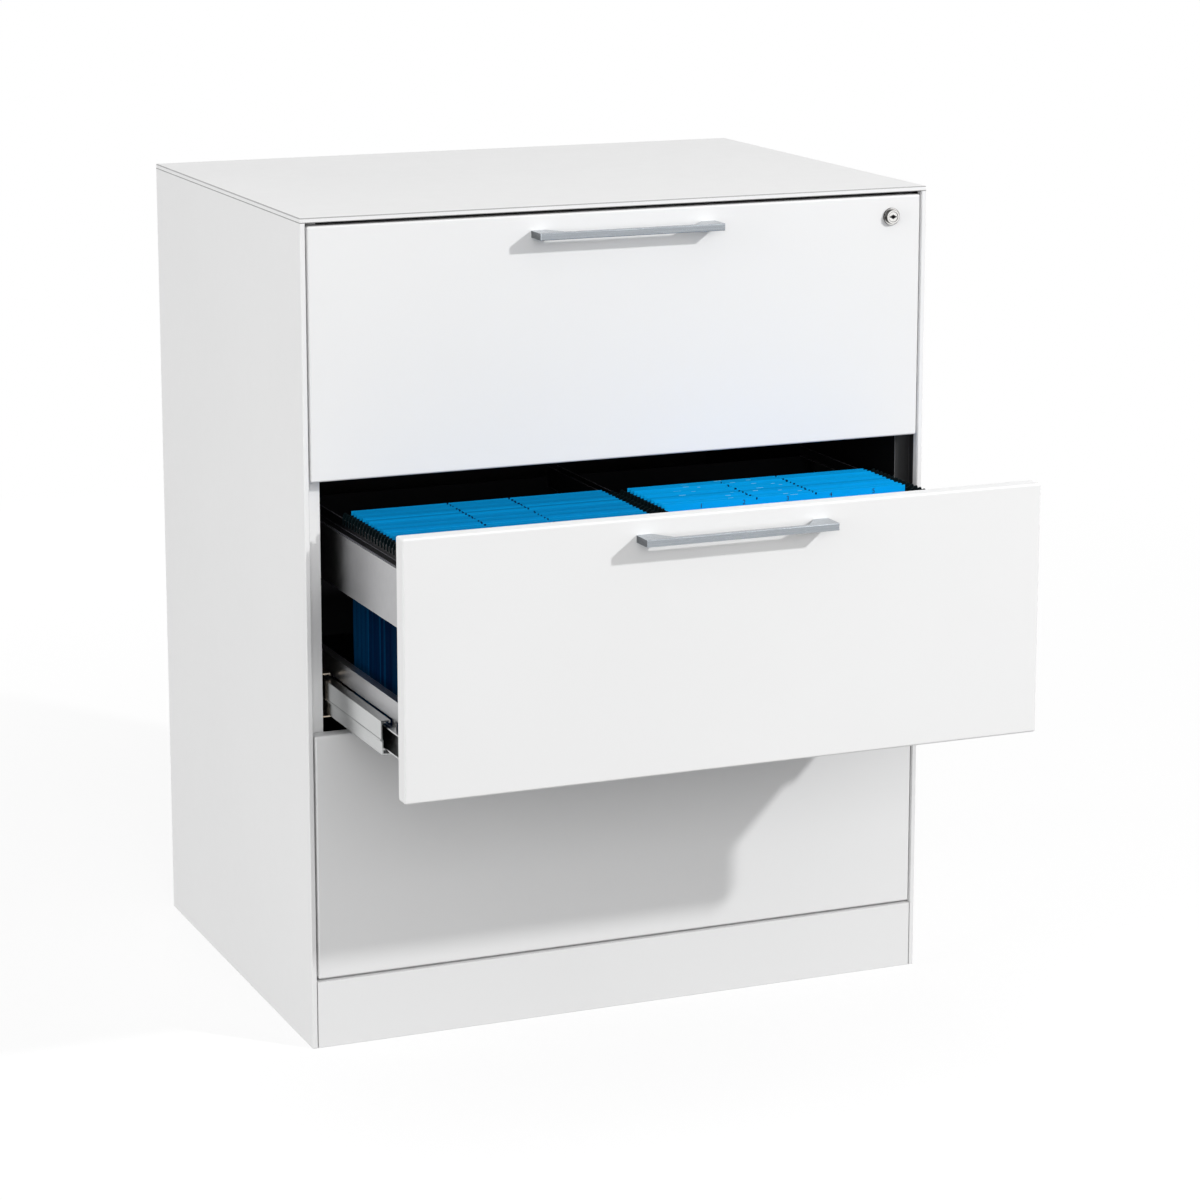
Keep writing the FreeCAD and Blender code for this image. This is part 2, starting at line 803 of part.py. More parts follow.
def lock_catches():
    body = new_body("lock_catches")
    half = "catch_height / 2"
    root = "bar_mid + bar_width / 2"
    levels = [resting_catch(drawer) for drawer in DRAWERS]
    catches = [rect("jamb - catch_reach", f"{z} - {half}", root, f"{z} + {half}") for z in levels]
    pad(body, "y", "catch_face", "catch_back", *catches)
    finish(body, "lock_catches")


def at_lock(body, label):
    finish(body, label, x="lock_x", y="front", z="lock_z")


def centred(radius):
    return Circle("0 * width", "0 * width", radius)


def lock_housing():
    body = new_body("lock_housing")
    tail = "front_thick + barrel_tail"
    pad(body, "y", "-lock_proud", tail, centred("barrel_radius"))
    pad(body, "y", "-rose_thick", "0 * depth", centred("rose_radius"))
    pocket(body, "y", "-lock_proud", tail, centred("plug_radius + plug_play"))
    at_lock(body, "lock_housing")


def lock_plug():
    body = new_body("lock_plug")
    face = "plug_sink - lock_proud"
    pad(body, "y", face, "cam_face", centred("plug_radius"))
    slot = rect("-key_width / 2", "-key_slot / 2", "key_width / 2", "key_slot / 2")
    pocket(body, "y", face, f"{face} + key_depth", slot)
    corner = "key_diamond / 2"
    zero = "0 * width"
    diamond = [(f"-{corner}", zero), (zero, f"-{corner}"), (corner, zero), (zero, corner)]
    pocket(body, "y", face, f"{face} + key_depth", diamond)
    at_lock(body, "lock_plug")


def lock_cam():
    body = new_body("lock_cam")
    back = "cam_face + cam_thick"
    pad(body, "y", "cam_face", back, centred("cam_radius"))
    pad(body, "y", back, f"{back} + pin_length", Circle("pin_reach", "-pin_reach", "pin_radius"))
    at_lock(body, "lock_cam")


# Hanging files


def add_row(body, feature):
    """Repeat a feature along the drawer, one for each file."""
    row = body.newObject("PartDesign::LinearPattern", "LinearPattern")
    row.Originals = [feature]
    row.Direction = (origin(body, "Y_Axis"), [""])
    bind(row, "Length", "file_pitch * (file_count - 1)")
    bind(row, "Occurrences", "file_count")
    body.Tip = row


def hanging_files(drawer):
    """Folded boards, open at the top; the front leaf of each lies against its hook bar."""
    body = new_body("files_left")
    half = "file_opening / 2"
    board = [
        (f"file_first - {half}", "file_top"),
        ("file_first - file_board", "file_bottom"),
        ("file_first + file_board", "file_bottom"),
        (f"file_first + {half}", "file_top"),
        (f"file_first + {half} - file_board", "file_top"),
        ("file_first", "file_bottom + file_board"),
        (f"file_first - {half} + file_board", "file_top"),
    ]
    add_row(body, pad(body, "x", "-lane_out", "-lane_in", board))
    finish(body, "files_left", y=f"front - {drawer.open}", z=base_line(drawer))
    mirrored_copy(body, "files_right")


def file_hooks(drawer):
    """Hook bars, one in each file, hung over the side lip and the twin lip."""
    body = new_body("file_hooks_left")
    low = "lip_top - hook_drop"
    half_bar = [("-hook_out", low), ("-hook_out", "lip_top + hook_height")]
    bar = half_bar + [
        ("-hook_in", "lip_top + hook_height"),
        ("-hook_in", low),
        ("-hook_in - hook_wall", low),
        ("-hook_in - hook_wall", "lip_top"),
        ("hook_wall - hook_out", "lip_top"),
        ("hook_wall - hook_out", low),
    ]
    start = "file_first - file_opening / 2 + file_board + hook_seat"
    add_row(body, pad(body, "y", start, f"{start} + hook_thick", bar))
    finish(body, "file_hooks_left", y=f"front - {drawer.open}", z=base_line(drawer))
    mirrored_copy(body, "file_hooks_right")


def check_and_write():
    """Stop if any object failed, then write one file for each piece."""
    doc.recompute()
    for thing in doc.Objects:
        if "Invalid" in thing.State or "Error" in thing.State:
            raise RuntimeError(f"{thing.Label} failed: {thing.State}")
    for thing in nodes:
        if thing.Shape.isNull() or not thing.Shape.isValid():
            raise RuntimeError(f"{thing.Label} has no valid shape")
    os.makedirs("parts", exist_ok=True)
    for thing in nodes:
        thing.Shape.exportStep(f"parts/{thing.Label}.step")
    print(len(nodes), "pieces,", sum(len(thing.Shape.Solids) for thing in nodes), "solids")


CARCASS = (side_panels, top_panel, back_panel, plinth, base_frame, levelling_feet, bottom_pan, liners)
LOCK = (
    lock_cover, lock_channel, lock_guides, lock_bar, lock_arm, lock_catches,
    lock_housing, lock_plug, lock_cam,
)
DRAWER = (
    drawer_front, inner_front, handle, upper_bands, lower_rails, drawer_back, hanger_rails, catch_lug,
    slide_outer, slide_middle, ball_rows, slide_inner,
)

fill_sheet()
for build in CARCASS + LOCK:
    build()
for one in DRAWERS:
    for build in DRAWER:
        build(one)
hanging_files(DRAWERS[1])
file_hooks(DRAWERS[1])
check_and_write()
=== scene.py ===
"""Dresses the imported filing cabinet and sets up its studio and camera.

Metres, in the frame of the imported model: +Z up, fronts towards -Y, origin on the floor.
"""
import json
import math
import random

import bmesh
import bpy
from mathutils import Matrix, Vector


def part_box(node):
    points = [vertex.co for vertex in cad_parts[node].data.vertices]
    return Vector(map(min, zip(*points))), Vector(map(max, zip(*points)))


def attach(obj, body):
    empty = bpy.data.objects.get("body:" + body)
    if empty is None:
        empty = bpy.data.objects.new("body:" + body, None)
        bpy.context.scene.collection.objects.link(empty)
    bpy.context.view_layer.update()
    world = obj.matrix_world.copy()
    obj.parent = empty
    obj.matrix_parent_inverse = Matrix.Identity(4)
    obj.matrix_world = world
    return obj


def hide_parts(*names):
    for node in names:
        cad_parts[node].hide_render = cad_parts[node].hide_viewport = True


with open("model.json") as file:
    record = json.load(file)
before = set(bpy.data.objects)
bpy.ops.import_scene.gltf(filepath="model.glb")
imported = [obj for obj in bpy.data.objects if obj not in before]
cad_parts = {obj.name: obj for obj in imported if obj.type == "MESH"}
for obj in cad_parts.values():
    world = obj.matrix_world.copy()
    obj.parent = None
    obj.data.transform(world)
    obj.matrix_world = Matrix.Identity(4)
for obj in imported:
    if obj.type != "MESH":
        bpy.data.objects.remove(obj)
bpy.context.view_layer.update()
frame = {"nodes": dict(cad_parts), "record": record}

MM = 0.001
DRAWERS = ("bottom", "middle", "top")
LANES = ("left", "right")
SLOTS = {part["node"]: part["material_slot"] for part in frame["record"]["subparts"]}
dice = random.Random(7)

# Camera at the photograph's place; the photograph is 1200 pixels square
PHOTO_PIXELS = 1200
FOCAL_PIXELS = 3654.62
SENSOR = 36.0
CAMERA_PLACE = Vector((-1.6753, -4.22651, 1.526))
CAMERA_AZIMUTH = -22.7
CAMERA_ELEVATION = 11.48
CAMERA_SHIFT = -0.1

# Hanging files
FILE_COUNT = 31
FILE_PITCH = 10.3 * MM
BOARD = 0.5 * MM
HANG_PLAY = 0.9 * MM
LEAF_SLACK = 0.18
LEAF_BOW = 0.7
LEAF_SHARES = (0, 0.04, 0.15, 0.4, 0.7, 1)
# Rim tone of each file, at random within its lane's range; the right lane's range is set higher as painted
# light
LANE_TONES_WITH_PAINTED_LIGHT = {"left": (0.55, 0.7), "right": (0.82, 0.98)}
LEAF_TONE_PLAY = (-0.14, 0.04)
# Painted shade below the rim: the leaf's tone times a random factor from this range, squared
BELOW_RIM_SHADE_FACTORS = (0.1, 0.55)

# Rim of a leaf: three bands in the leaf's own tone, with painted shade of slots on the upper two and
# painted glints on the top one; below the rim the leaf takes painted shade
RIM_BANDS = 3
SLOT_BANDS = 2
PAINTED_GLINT_BANDS = 1
RIM_HEIGHT = 12 * MM
SLOT_HEIGHT = 2.5 * MM
SLOT_PLACE = 39 * MM
SLOT_WIDTHS = (1.4 * MM, 3 * MM)
SLOT_CHANCE = 0.85
# Slots take painted shade
SLOT_SHADE_TINT = 0.0
# Painted glints: pale dashes along the top of the rims
PAINTED_GLINT_HEIGHT = 0.45 * MM
PAINTED_GLINT_WIDTHS = (4 * MM, 10 * MM)
PAINTED_GLINT_SHARES = (0.1, 0.6)
PAINTED_GLINT_TINT = 1.6
PAINTED_GLINTS_PER_LEAF = {"left": 0, "right": 1}

# File with printed numbers, behind a few files that hang lower
NUMBERED_LANE = "right"
NUMBERED_FILE = 20
LOW_FILES = (16, 17, 18, 19)
LOW_DROP = 8.5 * MM
DIGIT_HEIGHT = 5.6 * MM
DIGIT_MARGIN = 1.2 * MM
DIGIT_SHARES = (0.15, 0.325, 0.505, 0.685, 0.865)
DIGIT_PER_FONT_SIZE = 0.7
INK_GAP = 0.15 * MM

# Hook bars: a nose at each end, with a tip on top and a step down to the middle
HOOK_THICK = 1.5 * MM
HOOK_GAP = 0.05 * MM
HOOK_BEVEL = 0.25 * MM
NOSE_DROP = 6 * MM
NOSE_WALL = 1.9 * MM
NOSE_CORNER = 0.5 * MM
TIP_RISE = 2.4 * MM
TIP_SLOPE = 1.6 * MM
TIP_END = 4 * MM
TIP_FOOT = 7 * MM
WAIST_DROP = 1.2 * MM
UPPER_STEP = (10 * MM, 16 * MM)
LOWER_STEP = (13 * MM, 14 * MM)

# Ribs on the middle slide members
RIB_DROP = 2.6 * MM
RIB_HALF = 1.3 * MM
RIB_PROUD = 0.8 * MM

# Ball cages
BALL_PITCH = 9 * MM
CAGE_SHARE = 0.55
FLAT_FACE = 0.999

# Rivets, with the dome's profile in shares of radius and height
DOME = ((1.0, 0.0), (0.97, 0.45), (0.8, 0.8), (0.45, 0.96), (0.0, 1.0))
DOME_STEPS = 20
BACK_RIVET_RADIUS = 2.2 * MM
BACK_RIVET_HEIGHT = 0.9 * MM
BACK_RIVET_INSET = 23 * MM
BACK_RIVET_SHARES = (0.05, 0.23, 0.41, 0.59, 0.77, 0.95)
TAB_RIVET_RADIUS = 3 * MM
TAB_RIVET_HEIGHT = 1.2 * MM
TAB_FRONT_INSET = 114 * MM
TAB_REAR_INSET = 102 * MM
RAIL_SHEET = 1.2 * MM

# Studio
FLOOR_HALF = 40
FLOOR_TONE = 0.25
FLOOR_FADE = (1.0, 3.0)
SKY_FILL = 0.56
CABINET_FOOT = (0, 0, 0)
CABINET_MIDDLE = (0, 0, 0.5)

# Colours, tones and lines of the finishes
WHITE = (0.86, 0.86, 0.86)
BLACK = (0.007, 0.007, 0.008)
HOOK_BLACK = (0.001, 0.004, 0.005)
# Painted dark reflection on the sides of the lock's turnings
SIDE_REFLECTION_BLACK = (0.012, 0.01, 0.009)
INK_BLACK = (0.004, 0.01, 0.03)
FOOT_BLACK = (0.02, 0.02, 0.02)
COVER_GREY = (0.022, 0.022, 0.023)
SHEET_GREY = (0.46, 0.46, 0.47)
BLUE = (0.0, 0.34, 0.76)
# Dark end of the board's tones, for the painted shade below the rims and in the slots
SHADE_NAVY = (0, 0.008, 0.05)
# Colour of the painted glints
GLINT_BLUE = (0.16, 0.56, 0.84)
FIBRE_GREY = (0.6, 0.6, 0.6)
NICKEL = (0.88, 0.87, 0.85)
ALUMINIUM = (0.38, 0.41, 0.44)
ZINC = (0.52, 0.53, 0.53)
# Lighter copy of the zinc, painted light for the inner slide members
PAINTED_LIGHT_ZINC = (0.55, 0.56, 0.56)
WARM_ZINC = (0.6, 0.52, 0.42)
BALL_STEEL = (0.7, 0.7, 0.7)
# Painted shade along the edges of the coats
PAINTED_EDGE_SHADE = 0.55
# Painted shade along the tray's edges, its folds and the seam under its rim
TRAY_EDGE_SHADE = 0.12
TRAY_FOLD_SHADE = 0.42
TRAY_SEAM_SHADE = 0.25
TRAY_SEAM_SHADE_SPAN = (0.6 * MM, 1.2 * MM)
COAT_EDGE = 1.1 * MM
METAL_EDGE = 0.9 * MM
SHEET_EDGE = 0.8 * MM
HOUSING_EDGE = 1.3 * MM
PLUG_EDGE = 0.3 * MM
STRIP_BLUR = 0.3 * MM
DEPTH_BLUR = 0.4 * MM
DRAWN_RELIEF = 0.004 * MM
BALL_RELIEF = 0.01 * MM
ALONG_X = (0.02, 1, 1)
ALONG_Y = (1, 0.02, 1)
EVERY_WAY = (1, 1, 1)

# Places on the cabinet that a finish follows
STRIP_WIDTH = 9 * MM
PLUG_FACE_DEPTH = 0.2 * MM
TRAY_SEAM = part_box("top_panel")[0].z
COVER_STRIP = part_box("lock_cover")[0].y + STRIP_WIDTH
# Painted shade starts just behind the plug's face; the keyway's painted shade is a diamond of this width
# and height
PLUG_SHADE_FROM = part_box("lock_plug")[0].y + PLUG_FACE_DEPTH
LOCK_CENTRE = sum(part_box("lock_plug"), Vector()) / 2
KEYHOLE_SHADE_WIDTH = 9.5 * MM
KEYHOLE_SHADE_HEIGHT = 5.6 * MM


# Node materials


class Finish:
    """A node material, with short calls to add and join its nodes."""

    def __init__(self, name):
        self.name = name
        self.material = bpy.data.materials.new(name)
        self.material.use_nodes = True
        self.tree = self.material.node_tree
        self.shader = self.tree.nodes["Principled BSDF"]
        self.place = self.tree.nodes.new("ShaderNodeTexCoord").outputs["Object"]

    def set(self, **values):
        for name, value in values.items():
            self.shader.inputs[name.replace("_", " ")].default_value = value

    def join(self, output, target):
        self.tree.links.new(output, target)

    def noise(self, scale, stretch=EVERY_WAY, detail=3):
        """Noise from 0 to 1 in the object's coordinates, drawn out along an axis where stretch is small."""
        mapping = self.tree.nodes.new("ShaderNodeMapping")
        mapping.inputs["Scale"].default_value = stretch
        self.join(self.place, mapping.inputs["Vector"])
        texture = self.tree.nodes.new("ShaderNodeTexNoise")
        texture.inputs["Scale"].default_value = scale
        texture.inputs["Detail"].default_value = detail
        self.join(mapping.outputs["Vector"], texture.inputs["Vector"])
        return texture.outputs["Fac"]

    def span(self, value, low, high, start=0.3, end=0.7):
        """Maps a value between start and end to a number between low and high."""
        node = self.tree.nodes.new("ShaderNodeMapRange")
        for name, number in (("From Min", start), ("From Max", end), ("To Min", low), ("To Max", high)):
            node.inputs[name].default_value = number
        self.join(value, node.inputs["Value"])
        return node.outputs["Result"]

    def mix(self, factor, first, second, mode="MIX"):
        """Mixes two colours, each given as three numbers or as another node's output."""
        node = self.tree.nodes.new("ShaderNodeMix")
        node.data_type = "RGBA"
        node.blend_type = mode
        colours = [socket for socket in node.inputs if socket.type == "RGBA"]
        for socket, colour in zip(colours, (first, second)):
            if isinstance(colour, tuple):
                socket.default_value = (*colour, 1)
            else:
                self.join(colour, socket)
        self.join(factor, node.inputs["Factor"])
        return next(socket for socket in node.outputs if socket.type == "RGBA")

    def math(self, operation, first, second=0):
        """A calculation on one or two values, each a number or another node's output."""
        node = self.tree.nodes.new("ShaderNodeMath")
        node.operation = operation
        for socket, value in zip(node.inputs, (first, second)):
            if isinstance(value, (int, float)):
                socket.default_value = value
            else:
                self.join(value, socket)
        return node.outputs["Value"]

    def normal(self):
        """The face's own normal."""
        return self.tree.nodes.new("ShaderNodeNewGeometry").outputs["True Normal"]

    def part(self, vector, axis):
        """A vector's part along an axis."""
        node = self.tree.nodes.new("ShaderNodeSeparateXYZ")
        self.join(vector, node.inputs["Vector"])
        return node.outputs[axis]

    def facing(self, axis):
        """The normal's part along an axis."""
        return self.part(self.normal(), axis)

    def level(self, axis):
        """The place along an axis."""
        return self.part(self.place, axis)

    def rounded(self, width, samples):
        """The normal, turned within a given width of an edge as if the edge were round."""
        bevel = self.tree.nodes.new("ShaderNodeBevel")
        bevel.samples = samples
        bevel.inputs["Radius"].default_value = width
        return bevel.outputs["Normal"]

    def edges(self, width):
        """1 along a solid's edges and 0 on its faces."""
        alike = self.tree.nodes.new("ShaderNodeVectorMath")
        alike.operation = "DOT_PRODUCT"
        self.join(self.rounded(width, samples=8), alike.inputs[0])
        self.join(self.normal(), alike.inputs[1])
        return self.span(alike.outputs["Value"], 1, 0, 0.82, 0.995)

    def attribute(self, name):
        node = self.tree.nodes.new("ShaderNodeAttribute")
        node.attribute_name = name
        return node.outputs["Fac"]

    def colour(self, output):
        self.join(output, self.shader.inputs["Base Color"])

    def painted(self):
        """The output that colours the shader so far."""
        return self.shader.inputs["Base Color"].links[0].from_socket

    def roughness(self, output):
        self.join(output, self.shader.inputs["Roughness"])

    def relief(self, height, depth, strength, edge=0.0):
        """Bump of a given depth, over edges that may be rounded in the shading."""
        bump = self.tree.nodes.new("ShaderNodeBump")
        bump.inputs["Distance"].default_value = depth
        bump.inputs["Strength"].default_value = strength
        self.join(height, bump.inputs["Height"])
        if edge:
            self.join(self.rounded(edge, samples=6), bump.inputs["Normal"])
        self.join(bump.outputs["Normal"], self.shader.inputs["Normal"])


def shade(colour, factor):
    """A colour made darker or lighter."""
    return tuple(channel * factor for channel in colour)


def powder_coat(name, colour, rough, specular=0.5, line=PAINTED_EDGE_SHADE):
    """Sprayed coat: fine orange peel, faint clouds of tone, uneven gloss and the line tone painted along
    the edges: painted shade below 1, painted highlight above 1.
    """
    finish = Finish(name)
    clouds = finish.span(finish.noise(4, detail=2), 0, 1)
    face = finish.mix(clouds, shade(colour, 0.985), colour)
    # Painted shade along the edges where line is below 1, painted highlight where it is above 1
    finish.colour(finish.mix(finish.edges(COAT_EDGE), face, shade(colour, line)))
    finish.roughness(finish.span(finish.noise(60), rough - 0.05, rough + 0.05))
    finish.relief(finish.noise(700, detail=2), 0.05 * MM, 0.25, 0.5 * MM)
    finish.set(Specular_IOR_Level=specular)
    return finish


def two_sided_coat(name, outside, inside, axis, sign, rough, line=PAINTED_EDGE_SHADE):
    """Sprayed coat with another colour on the faces that look one way along an axis."""
    finish = powder_coat(name, outside, rough, line=line)
    turned = finish.math("GREATER_THAN", finish.math("MULTIPLY", finish.facing(axis), sign), 0.5)
    finish.colour(finish.mix(turned, finish.painted(), inside))
    return finish


def tray_coat(name, outside, inside, rough, seam):
    """Sprayed coat of a tray with rounded folds, with painted shade along its edges, its folds and its
    lower rim at the seam.
    """
    finish = two_sided_coat(name, outside, inside, "Z", -1, rough, TRAY_EDGE_SHADE)
    # Painted shade along the rounded folds, and a painted shadow line along the lower rim where it meets
    # the sides
    upward = finish.facing("Z")
    rising = finish.span(upward, 0, 1, 0.05, 0.2)
    fold = finish.math("MULTIPLY", rising, finish.span(upward, 1, 0, 0.9, 0.98))
    fold_shaded = finish.mix(fold, finish.painted(), shade(outside, TRAY_FOLD_SHADE))
    rim = finish.span(finish.level("Z"), 1, 0, *(seam + height for height in TRAY_SEAM_SHADE_SPAN))
    finish.colour(finish.mix(rim, fold_shaded, shade(outside, TRAY_SEAM_SHADE)))
    return finish


def tipped_coat(name, colour, strip, end, rough, specular, line):
    """Sprayed coat with a strip of another colour in front of a place along Y."""
    finish = powder_coat(name, colour, rough, specular, line)
    behind = finish.span(finish.level("Y"), 0, 1, end - STRIP_BLUR, end + STRIP_BLUR)
    finish.colour(finish.mix(behind, strip, finish.painted()))
    return finish


def metal(name, colour, rough, stretch, depth=DRAWN_RELIEF, streak=0.06, line=1.0, painted_end_reflection=1.0):
    """Metal with streaks along its drawing direction, the line tone painted along its edges and a painted
    dark reflection on its end faces along X.
    """
    finish = Finish(name)
    lines = finish.noise(900, stretch, detail=4)
    stains = finish.noise(35, detail=4)
    tone = finish.mix(finish.span(lines, 0, 1), shade(colour, 1 - streak), colour)
    stained = finish.mix(finish.span(stains, 0, 0.2), tone, shade(colour, 0.8))
    end = finish.math("ABSOLUTE", finish.facing("X"))
    # Painted dark reflection on the end faces along X; along the edges, painted shade where line is below 1
    # and painted highlight where it is above 1
    faces = finish.mix(finish.span(end, 0, 1, 0.7, 0.9), stained, shade(colour, painted_end_reflection))
    finish.colour(finish.mix(finish.edges(METAL_EDGE), faces, shade(colour, line)))
    finish.roughness(finish.span(lines, rough - 0.04, rough + 0.04))
    finish.relief(lines, depth, 0.2, 0.3 * MM)
    finish.set(Metallic=1.0)
    return finish


def sheet_metal(name, colour, rough):
    """Smooth plated sheet with faint clouds in its tone and gloss, and painted highlights along its edges.
    """
    finish = Finish(name)
    clouds = finish.noise(14, detail=4)
    tone = finish.mix(finish.span(clouds, 0, 1), shade(colour, 0.94), colour)
    # Painted highlights along the edges
    finish.colour(finish.mix(finish.edges(SHEET_EDGE), tone, shade(colour, 1.9)))
    finish.roughness(finish.span(finish.noise(90), rough - 0.04, rough + 0.04))
    finish.relief(finish.noise(450, detail=1), DRAWN_RELIEF, 0.1)
    finish.set(Metallic=1.0)
    return finish


def two_tone_metal(name, colour, painted_side_reflection, rough, line):
    """Plated turning with faces in the plating's tone, and a painted dark reflection on its sides and along
    its edges of a given width.
    """
    finish = Finish(name)
    rings = finish.noise(300, detail=3)
    forward = finish.span(finish.math("ABSOLUTE", finish.facing("Y")), 0, 1, 0.4, 0.8)
    worn = finish.mix(finish.span(rings, 0, 0.25), colour, shade(colour, 0.75))
    # Painted dark reflection on the sides and along the edges; only the faces are metal
    finish.colour(finish.mix(finish.edges(line), finish.mix(forward, painted_side_reflection, worn), painted_side_reflection))
    finish.roughness(finish.span(rings, rough - 0.05, rough + 0.05))
    finish.relief(rings, 0.01 * MM, 0.1, 0.3 * MM)
    finish.set(Specular_IOR_Level=0.1)
    finish.join(forward, finish.shader.inputs["Metallic"])
    return finish


def keyhole_metal(name, colour, painted_side_reflection, rough, line, shade_from, centre):
    """The same turning with painted black shade in a diamond in and around the keyway, and painted black
    shade behind a place along Y.
    """
    finish = two_tone_metal(name, colour, painted_side_reflection, rough, line)
    shares = []
    for axis, middle, size in (("X", centre.x, KEYHOLE_SHADE_WIDTH), ("Z", centre.z, KEYHOLE_SHADE_HEIGHT)):
        offset = finish.math("ABSOLUTE", finish.math("SUBTRACT", finish.level(axis), middle))
        shares.append(finish.math("DIVIDE", offset, size / 2))
    # Painted shade in a diamond in and around the keyway
    keyhole_shade = finish.span(finish.math("ADD", *shares), 1, 0, 0.9, 1.1)
    keyhole_shaded = finish.mix(keyhole_shade, finish.painted(), BLACK)
    # Painted shade on every surface of the plug behind its face: the keyway's recess and the plug's sides
    depth = finish.span(finish.level("Y"), 0, 1, shade_from, shade_from + DEPTH_BLUR)
    finish.colour(finish.mix(depth, keyhole_shaded, BLACK))
    return finish


def file_board(name, colour):
    """Dyed board: fibres and a tone of its own for each leaf, with painted shade below the rims and in the
    slots, and painted glints.
    """
    finish = Finish(name)
    fibres = finish.noise(500, (0.15, 1, 1), detail=5)
    tint = finish.attribute("tint")
    # Tint 0 takes the navy of painted shade, tint 1 the board's colour made lighter
    tone = finish.mix(finish.span(tint, 0, 1, 0, 1), SHADE_NAVY, shade(colour, 1.3))
    # Tints above 1.2 give the painted glints
    glinted = finish.mix(finish.span(tint, 0, 1, 1.2, 1.5), tone, GLINT_BLUE)
    finish.colour(finish.mix(finish.span(fibres, 0, 0.2), glinted, FIBRE_GREY, "MULTIPLY"))
    finish.roughness(finish.span(fibres, 0.5, 0.68))
    finish.relief(fibres, 0.05 * MM, 0.3)
    finish.set(Specular_IOR_Level=0.05)
    return finish


def moulded_plastic(name, colour, rough):
    """Plastic with a fine grain and faint clouds of tone."""
    finish = Finish(name)
    grain = finish.noise(1600, detail=2)
    finish.colour(finish.mix(finish.span(finish.noise(20), 0, 1), shade(colour, 0.85), colour))
    finish.roughness(finish.span(grain, rough - 0.06, rough + 0.06))
    finish.relief(grain, 0.04 * MM, 0.35, 0.3 * MM)
    return finish


finishes = {finish.name: finish for finish in (
    # White coats take painted shade along their edges
    powder_coat("white_coat", WHITE, 0.42),
    powder_coat("black_coat", BLACK, 0.4, specular=0.06, line=1.0),
    # Hook, rail and cover coats: line tones above 1 give painted highlights along their edges
    powder_coat("hook_coat", HOOK_BLACK, 0.4, specular=0.05, line=4.0),
    powder_coat("rail_coat", BLACK, 0.35, specular=0.2, line=30.0),
    tipped_coat("cover_coat", COVER_GREY, WHITE, COVER_STRIP, 0.4, specular=0.2, line=3.0),
    two_sided_coat("back_coat", WHITE, BLACK, "Y", -1, 0.42),
    tray_coat("top_coat", WHITE, BLACK, 0.42, TRAY_SEAM),
    # Handles: painted highlights along the edges and painted dark reflection on the end faces; zinc steel:
    # painted shade along its profile edges
    metal("satin_aluminium", ALUMINIUM, 0.26, ALONG_X, streak=0.05, line=1.8, painted_end_reflection=0.4),
    metal("zinc_steel", ZINC, 0.22, ALONG_Y, streak=0.04, line=0.25),
    # Inner slide members: the same zinc made lighter, with painted highlights along the edges
    metal("zinc_with_painted_highlights", PAINTED_LIGHT_ZINC, 0.22, ALONG_Y, streak=0.04, line=1.5),
    metal("warm_zinc", WARM_ZINC, 0.3, ALONG_Y, streak=0.04),
    metal("ball_steel", BALL_STEEL, 0.15, EVERY_WAY, BALL_RELIEF),
    # Grey sheet with painted highlights along its edges
    sheet_metal("grey_metal", SHEET_GREY, 0.32),
    # Lock: painted dark reflection on the sides and edges, painted shade in the keyway
    two_tone_metal("lock_metal", NICKEL, SIDE_REFLECTION_BLACK, 0.2, HOUSING_EDGE),
    keyhole_metal("plug_metal", NICKEL, SIDE_REFLECTION_BLACK, 0.2, PLUG_EDGE, PLUG_SHADE_FROM, LOCK_CENTRE),
    file_board("blue_board", BLUE),
    moulded_plastic("foot_plastic", FOOT_BLACK, 0.5),
    moulded_plastic("black_ink", INK_BLACK, 0.6),
)}
SPECIAL = {
    "back_panel": "back_coat",
    "top_panel": "top_coat",
    "lock_cover": "cover_coat",
    "lock_plug": "plug_metal",
}
for drawer_name in DRAWERS:
    SPECIAL[f"hanger_rails_{drawer_name}"] = "rail_coat"
    SPECIAL[f"slide_outer_{drawer_name}"] = "warm_zinc"
    SPECIAL[f"slide_inner_{drawer_name}"] = "zinc_with_painted_highlights"


def dress(thing, finish):
    """Gives an object one finish, by its name."""
    thing.data.materials.clear()
    thing.data.materials.append(finishes[finish].material)


for node_name, thing in frame["nodes"].items():
    dress(thing, SPECIAL.get(node_name, SLOTS[node_name]))


# Mesh pieces


def add_piece(name, mesh, finish, body, *nodes):
    """Puts a mesh on a body, in place of the named solids."""
    made = bpy.data.meshes.new(name)
    bmesh.ops.recalc_face_normals(mesh, faces=mesh.faces)
    mesh.to_mesh(made)
    mesh.free()
    piece = bpy.data.objects.new(name, made)
    bpy.context.collection.objects.link(piece)
    dress(piece, finish)
    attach(piece, body)
    if nodes:
        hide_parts(*nodes)
    return piece


def bevel_edges(piece, width):
    """Rounds the sharp edges of a piece."""
    modifier = piece.modifiers.new("Bevel", "BEVEL")
    modifier.width = width
    modifier.segments = 2
    modifier.limit_method = "ANGLE"
    modifier.angle_limit = math.radians(35)


def smooth(piece):
    """Shades all faces of a piece as one round surface."""
    piece.data.polygons.foreach_set("use_smooth", [True] * len(piece.data.polygons))


def prism(mesh, outline, start, end):
    """Adds a solid of an outline in X and Z from start to end along Y."""
    front = [mesh.verts.new((x, start, z)) for x, z in outline]
    back = [mesh.verts.new((x, end, z)) for x, z in outline]
    mesh.faces.new(front)
    mesh.faces.new(back[::-1])
    for i in range(len(outline)):
        j = (i + 1) % len(outline)
        mesh.faces.new((front[j], front[i], back[i], back[j]))


